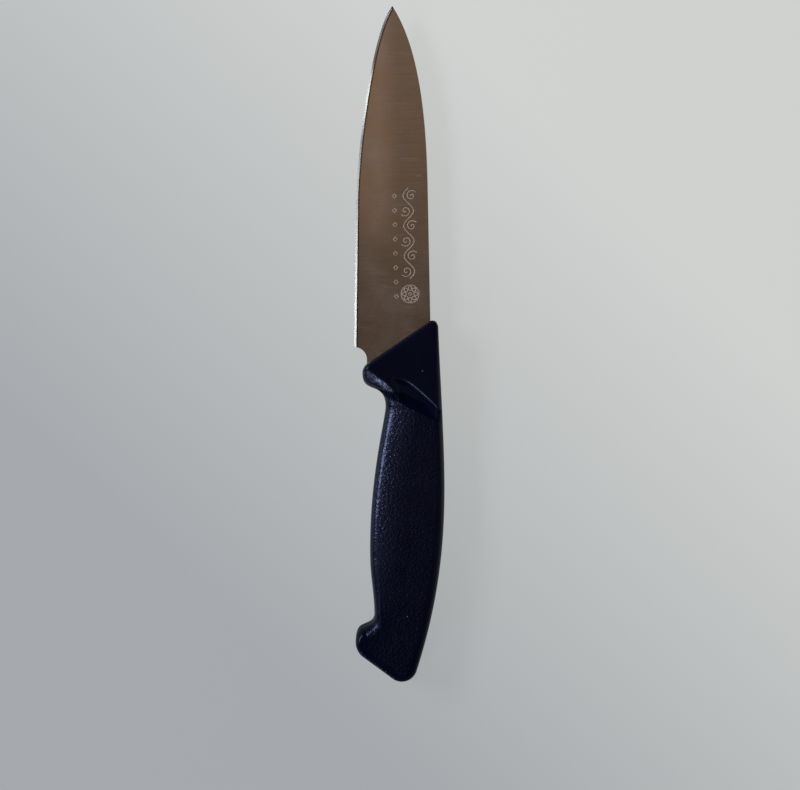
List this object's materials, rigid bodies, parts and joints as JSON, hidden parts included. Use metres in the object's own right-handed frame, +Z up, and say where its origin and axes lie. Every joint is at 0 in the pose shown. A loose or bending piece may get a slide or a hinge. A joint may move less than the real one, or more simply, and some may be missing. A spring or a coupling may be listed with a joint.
{
  "type": "kitchen knife",
  "caption": "Small kitchen knife with a pointed ground steel blade and a moulded navy plastic handle with a finger guard and a hooked butt.",
  "frame": {"origin": "middle of the knife's box, on the surface that it lies on", "axes": "+Y along the knife towards the tip, +X towards the spine, +Z up through the thickness: the knife lies on its side"},
  "size_m": [0.0346, 0.2538, 0.016],
  "materials": {
    "blade_steel": "satin ground, with a bright cutting bevel",
    "handle_plastic": "navy, fine spark-eroded grain"
  },
  "bodies": {
    "root": {"blade": "blade_steel", "handle": "handle_plastic"}
  },
  "joints": []
}
